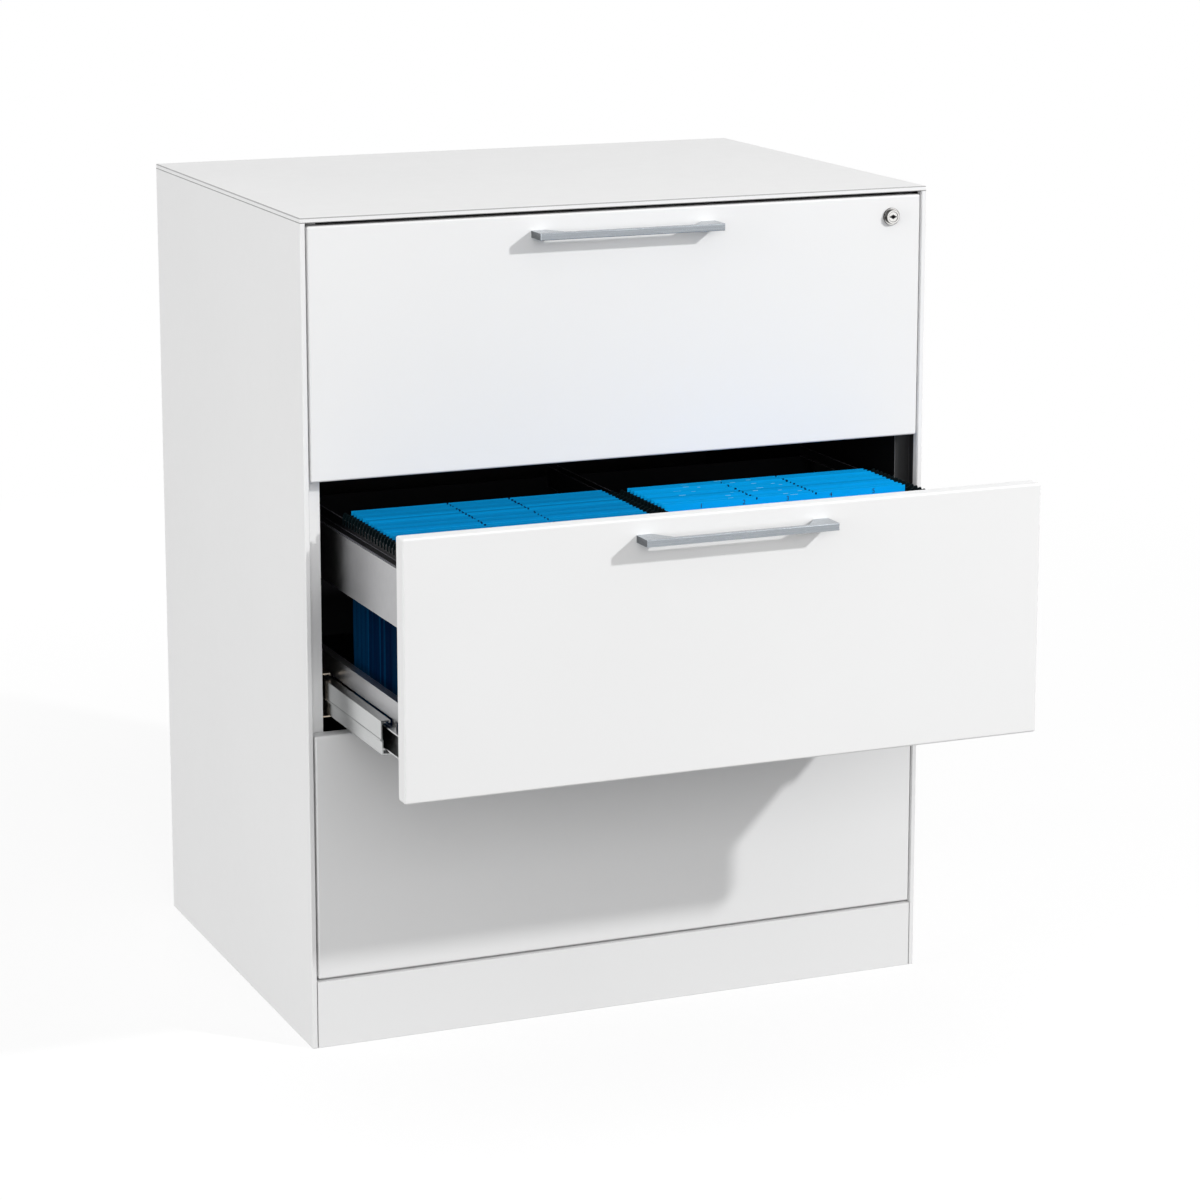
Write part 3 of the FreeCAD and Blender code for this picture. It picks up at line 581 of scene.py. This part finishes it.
def solid_boxes(node):
    """Lowest and highest corner of each separate solid of a node."""
    mesh = bmesh.new()
    mesh.from_mesh(frame["nodes"][node].data)
    bmesh.ops.remove_doubles(mesh, verts=mesh.verts, dist=1e-6)
    waiting = set(mesh.verts)
    boxes = []
    while waiting:
        group = [waiting.pop()]
        for vert in group:
            fresh = {edge.other_vert(vert) for edge in vert.link_edges} & waiting
            waiting -= fresh
            group.extend(fresh)
        corners = list(zip(*(vert.co for vert in group)))
        boxes.append((Vector(map(min, corners)), Vector(map(max, corners))))
    mesh.free()
    return sorted(boxes, key=lambda pair: tuple(pair[0]))


# Hanging files


def leaf_columns(x_range, glints):
    """Places along a leaf's width where its faces change, and the tint of each stretch of its rim."""
    x_low, x_high = x_range
    centre = (x_low + x_high) / 2
    # Slots are marked with their painted shade tint
    marks = [(centre + sign * SLOT_PLACE, dice.uniform(*SLOT_WIDTHS), SLOT_SHADE_TINT) for sign in (-1, 1)]
    marks = [mark for mark in marks if dice.random() < SLOT_CHANCE]
    # Painted glints along the rim
    for _ in range(glints):
        share = dice.uniform(*PAINTED_GLINT_SHARES)
        marks.append((x_low + share * (x_high - x_low), dice.uniform(*PAINTED_GLINT_WIDTHS), PAINTED_GLINT_TINT))
    columns = [x_low]
    tints = []
    for place, width, tint in sorted(marks):
        if place - width / 2 <= columns[-1]:
            continue
        columns += [place - width / 2, place + width / 2]
        tints += [None, tint]
    return columns + [x_high], tints + [None]


def add_leaf(mesh, tint, x_range, level_range, middle, reach, tone, glints):
    """One leaf of a file: a bowed sheet with painted shade below its rim, and painted shade of slots and
    painted glints along its rim.
    """
    low, high = level_range
    columns, marks = leaf_columns(x_range, glints)
    # Painted shade below the rim, its depth random from leaf to leaf
    below_rim_shade = tone * dice.uniform(*BELOW_RIM_SHADE_FACTORS) ** 2
    levels = [low + (high - RIM_HEIGHT - low) * share for share in LEAF_SHARES]
    levels += [high - SLOT_HEIGHT, high - PAINTED_GLINT_HEIGHT, high]
    rows = []
    for z in levels:
        out = reach * ((z - low) / (high - low)) ** LEAF_BOW
        rows.append([mesh.verts.new((x, middle + out, z)) for x in columns])
    bands_above = len(rows) - 1
    for lower, upper in zip(rows, rows[1:]):
        bands_above -= 1
        marked = {SLOT_SHADE_TINT: bands_above < SLOT_BANDS, PAINTED_GLINT_TINT: bands_above < PAINTED_GLINT_BANDS}
        for i, mark in enumerate(marks):
            face = mesh.faces.new((lower[i], lower[i + 1], upper[i + 1], upper[i]))
            face[tint] = tone if bands_above < RIM_BANDS else below_rim_shade
            if marked.get(mark):
                face[tint] = mark


def hangs_low(side, number):
    """Whether a file hangs lower, to show the numbers behind it."""
    return side == NUMBERED_LANE and number in LOW_FILES


def hanging_files(side):
    """All files of one lane."""
    low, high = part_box(f"files_{side}")
    opening = high.y - low.y - FILE_PITCH * (FILE_COUNT - 1)
    reach = opening / 2 - BOARD / 2
    x_range = (low.x + BOARD, high.x - BOARD)
    mesh = bmesh.new()
    tint = mesh.faces.layers.float.new("tint")
    for number in range(FILE_COUNT):
        middle = low.y + opening / 2 + number * FILE_PITCH
        tone = dice.uniform(*LANE_TONES_WITH_PAINTED_LIGHT[side])
        sink = dice.uniform(0, HANG_PLAY)
        slack = LEAF_SLACK
        if hangs_low(side, number):
            sink = LOW_DROP
        if side == NUMBERED_LANE and number == NUMBERED_FILE:
            sink = 0
            slack = 0
        levels = (low.z + BOARD, high.z - sink)
        for sign in (-1, 1):
            swing = sign * reach * dice.uniform(1 - slack, 1)
            leaf_tone = tone + dice.uniform(*LEAF_TONE_PLAY)
            add_leaf(mesh, tint, x_range, levels, middle, swing, leaf_tone, PAINTED_GLINTS_PER_LEAF[side])
    piece = add_piece(f"hanging_files_{side}", mesh, "blue_board", "drawer_middle", f"files_{side}")
    sheet = piece.modifiers.new("Board", "SOLIDIFY")
    sheet.thickness = BOARD
    sheet.offset = 0


def printed_numbers():
    """Numbers printed along the rim of one file."""
    low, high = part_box("files_right")
    face = low.y + NUMBERED_FILE * FILE_PITCH - INK_GAP
    mesh = bmesh.new()
    for number, share in enumerate(DIGIT_SHARES, 1):
        curve = bpy.data.curves.new("digit", "FONT")
        curve.body = str(number)
        curve.size = DIGIT_HEIGHT / DIGIT_PER_FONT_SIZE
        curve.align_x = "CENTER"
        holder = bpy.data.objects.new("digit", curve)
        flat = holder.to_mesh()
        place = (low.x + share * (high.x - low.x), face, high.z - DIGIT_HEIGHT - DIGIT_MARGIN)
        flat.transform(Matrix.Translation(place) @ Matrix.Rotation(math.pi / 2, 4, "X"))
        mesh.from_mesh(flat)
        holder.to_mesh_clear()
        bpy.data.objects.remove(holder)
    add_piece("file_numbers", mesh, "black_ink", "drawer_middle")


def mirrored(outline, low, high):
    """The outline's points on the far side of the middle, in the order that carries on round the bar."""
    return [(low.x + high.x - x, z) for x, z in outline[::-1]]


def hook_outline(low, high, dip):
    """Bar with a nose at each end that rises over the rail's lip, drops behind it and dips in between."""
    base = low.z + NOSE_DROP
    top = high.z
    waist = top - WAIST_DROP
    nose = [
        (low.x, low.z + NOSE_CORNER),
        (low.x + NOSE_CORNER, low.z),
        (low.x + NOSE_WALL, low.z),
        (low.x + NOSE_WALL, base),
        (low.x + LOWER_STEP[0], base),
        (low.x + LOWER_STEP[1], base - dip),
    ]
    crown = [
        (high.x, top - TIP_SLOPE),
        (high.x - TIP_SLOPE, top + TIP_RISE),
        (high.x - TIP_END, top + TIP_RISE),
        (high.x - TIP_FOOT, top),
        (high.x - UPPER_STEP[0], waist),
        (high.x - UPPER_STEP[1], waist - dip),
    ]
    return nose + mirrored(nose, low, high) + crown + mirrored(crown, low, high)


def hook_bars(side):
    """One hook bar for each file of a lane."""
    boxes = solid_boxes(f"file_hooks_{side}")
    mesh = bmesh.new()
    for number, (low, high) in enumerate(boxes):
        dip = LOW_DROP if hangs_low(side, number) else 0
        prism(mesh, hook_outline(low, high, dip), low.y + HOOK_GAP, low.y + HOOK_THICK)
    piece = add_piece(f"hook_bars_{side}", mesh, "hook_coat", "drawer_middle", f"file_hooks_{side}")
    bevel_edges(piece, HOOK_BEVEL)


for lane in LANES:
    hanging_files(lane)
    hook_bars(lane)
printed_numbers()


# Ball cages


def ball_cage(drawer):
    """Strips with a row of balls each, between the members of the drawer's slides."""
    mesh = bmesh.new()
    for low, high in solid_boxes(f"ball_rows_{drawer}"):
        radius = (high.z - low.z) / 2
        middle = (low + high) / 2
        thick = radius * CAGE_SHARE
        outline = [
            (low.x, middle.z - thick),
            (high.x, middle.z - thick),
            (high.x, middle.z + thick),
            (low.x, middle.z + thick),
        ]
        prism(mesh, outline, low.y, high.y)
        count = int((high.y - low.y) / BALL_PITCH)
        for number in range(count):
            y = low.y + (number + 0.5) * (high.y - low.y) / count
            place = Matrix.Translation((middle.x, y, middle.z))
            bmesh.ops.create_icosphere(mesh, subdivisions=2, radius=radius, matrix=place)
    piece = add_piece(f"ball_cages_{drawer}", mesh, "ball_steel", f"slides_{drawer}", f"ball_rows_{drawer}")
    for face in piece.data.polygons:
        face.use_smooth = max(map(abs, face.normal)) < FLAT_FACE


for drawer_name in DRAWERS:
    ball_cage(drawer_name)


# Rolled ribs


def slide_ribs(drawer):
    """Rolled rib along the web of each middle slide member."""
    low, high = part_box(f"slide_middle_{drawer}")
    level = (low.z + high.z) / 2 - RIB_DROP
    mesh = bmesh.new()
    for web, out in ((low.x, -RIB_PROUD), (high.x, RIB_PROUD)):
        outline = [
            (web, level - RIB_HALF),
            (web + out, level - RIB_HALF / 2),
            (web + out, level + RIB_HALF / 2),
            (web, level + RIB_HALF),
        ]
        prism(mesh, outline, low.y, high.y)
    add_piece(f"slide_ribs_{drawer}", mesh, "zinc_steel", f"slides_{drawer}")


for drawer_name in DRAWERS:
    slide_ribs(drawer_name)


# Rivets


def add_rivet(mesh, place, axis, radius, height):
    """Low dome on a surface, standing out along an axis."""
    turn = Vector(axis).to_track_quat("Z", "Y").to_matrix().to_4x4()
    seat = Matrix.Translation(place) @ turn
    points = [seat @ Vector((radius * out, 0, height * up)) for out, up in DOME]
    verts = [mesh.verts.new(point) for point in points]
    edges = [mesh.edges.new(pair) for pair in zip(verts, verts[1:])]
    bmesh.ops.spin(
        mesh, geom=verts + edges, cent=seat.translation, axis=turn @ Vector((0, 0, 1)),
        angle=2 * math.pi, steps=DOME_STEPS, use_merge=True,
    )


def back_rivets():
    """Rivets along both edges of the back panel."""
    low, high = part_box("back_panel")
    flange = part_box("side_panel_right")[1].x - BACK_RIVET_INSET
    mesh = bmesh.new()
    for sign in (-1, 1):
        for share in BACK_RIVET_SHARES:
            place = (sign * flange, high.y, low.z + share * (high.z - low.z))
            add_rivet(mesh, place, (0, 1, 0), BACK_RIVET_RADIUS, BACK_RIVET_HEIGHT)
    smooth(add_piece("back_rivets", mesh, "zinc_steel", "cabinet"))


def slide_rivets(drawer):
    """Rivets that hold the drawer's rail tabs to the inner slide members."""
    low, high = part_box(f"slide_inner_{drawer}")
    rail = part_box(f"lower_rails_{drawer}")[1].x - RAIL_SHEET
    level = (low.z + high.z) / 2
    mesh = bmesh.new()
    for sign in (-1, 1):
        for y in (low.y + TAB_FRONT_INSET, high.y - TAB_REAR_INSET):
            place = (sign * rail, y, level)
            add_rivet(mesh, place, (-sign, 0, 0), TAB_RIVET_RADIUS, TAB_RIVET_HEIGHT)
    smooth(add_piece(f"tab_rivets_{drawer}", mesh, "zinc_steel", f"drawer_{drawer}"))


back_rivets()
for drawer_name in DRAWERS:
    slide_rivets(drawer_name)


# Studio


def seen_directly(tree):
    """1 for rays from the camera, from gloss and through glass."""
    rays = tree.nodes.new("ShaderNodeLightPath")
    total = rays.outputs["Is Camera Ray"]
    for name in ("Is Glossy Ray", "Is Transmission Ray"):
        node = tree.nodes.new("ShaderNodeMath")
        node.operation = "MAXIMUM"
        tree.links.new(total, node.inputs[0])
        tree.links.new(rays.outputs[name], node.inputs[1])
        total = node.outputs["Value"]
    return total


def floor_paper():
    """White paper that takes a shadow near the cabinet and glows plain white further out."""
    finish = Finish("floor_paper")
    distance = finish.tree.nodes.new("ShaderNodeVectorMath")
    distance.operation = "LENGTH"
    finish.join(finish.place, distance.inputs[0])
    nearby = finish.span(distance.outputs["Value"], 1, 0, *FLOOR_FADE)
    finish.colour(finish.mix(nearby, (0, 0, 0), (FLOOR_TONE, FLOOR_TONE, FLOOR_TONE)))
    glow = finish.math("SUBTRACT", 1.0, finish.math("MULTIPLY", nearby, FLOOR_TONE))
    shown = finish.math("MULTIPLY", glow, seen_directly(finish.tree))
    finish.join(shown, finish.shader.inputs["Emission Strength"])
    finish.roughness(finish.span(finish.noise(3), 0.85, 0.95))
    finish.set(Emission_Color=(1, 1, 1, 1), Specular_IOR_Level=0.0)
    return finish


def studio_floor():
    """Large white floor that shows the camera a pale ground with the cabinet's soft shadow."""
    mesh = bmesh.new()
    bmesh.ops.create_grid(mesh, x_segments=1, y_segments=1, size=FLOOR_HALF)
    made = bpy.data.meshes.new("floor")
    mesh.to_mesh(made)
    mesh.free()
    floor = bpy.data.objects.new("floor", made)
    bpy.context.collection.objects.link(floor)
    floor.data.materials.append(floor_paper().material)


def studio_sky(fill):
    """White surroundings to the eye, softer light to the object."""
    world = bpy.data.worlds.new("studio")
    bpy.context.scene.world = world
    world.use_nodes = True
    tree = world.node_tree
    background = tree.nodes["Background"]
    background.inputs["Color"].default_value = (1, 1, 1, 1)
    node = tree.nodes.new("ShaderNodeMapRange")
    node.inputs["To Min"].default_value = fill
    node.inputs["To Max"].default_value = 1.0
    tree.links.new(seen_directly(tree), node.inputs["Value"])
    tree.links.new(node.outputs["Result"], background.inputs["Strength"])


def add_lamp(name, kind, place, target, energy, shows_in_gloss=True, **settings):
    """Lamp aimed at a target, which gloss reflects or not."""
    lamp = bpy.data.lights.new(name, kind)
    lamp.energy = energy
    for key, value in settings.items():
        setattr(lamp, key, value)
    thing = bpy.data.objects.new(name, lamp)
    thing.visible_glossy = shows_in_gloss
    thing.location = place
    thing.rotation_mode = "QUATERNION"
    thing.rotation_quaternion = (Vector(target) - Vector(place)).to_track_quat("-Z", "Y")
    bpy.context.collection.objects.link(thing)


def area_lamp(name, place, energy, width, height, shows_in_gloss=True):
    """Rectangular lamp aimed at the cabinet's middle."""
    add_lamp(
        name, "AREA", place, CABINET_MIDDLE, energy, shows_in_gloss,
        shape="RECTANGLE", size=width, size_y=height,
    )


def photo_camera():
    """Camera at the photograph's place, tilted down where the photograph was shifted."""
    camera = bpy.data.cameras.new("camera")
    camera.sensor_width = SENSOR
    camera.lens = FOCAL_PIXELS / PHOTO_PIXELS * SENSOR
    camera.shift_y = CAMERA_SHIFT
    camera.clip_end = 100
    thing = bpy.data.objects.new("camera", camera)
    around = math.radians(CAMERA_AZIMUTH)
    up = math.radians(CAMERA_ELEVATION)
    towards = Vector((-math.sin(around) * math.cos(up), math.cos(around) * math.cos(up), -math.sin(up)))
    thing.location = CAMERA_PLACE
    thing.rotation_mode = "QUATERNION"
    thing.rotation_quaternion = towards.to_track_quat("-Z", "Y")
    bpy.context.collection.objects.link(thing)
    bpy.context.scene.camera = thing


studio_floor()
studio_sky(SKY_FILL)
add_lamp("key", "POINT", (2.76, -3.42, 2.9), CABINET_FOOT, energy=480, shadow_soft_size=0.1)
area_lamp("left_fill", (-4, -0.6, 1.4), energy=76, width=3, height=3)
area_lamp("rear_fill", (0.4, 4.5, 1), energy=60, width=2, height=1.2, shows_in_gloss=False)
area_lamp("front_fill", (-1.2, -5, 1.8), energy=66, width=2.5, height=2.5)
photo_camera()
bpy.context.scene.view_settings.view_transform = "Standard"
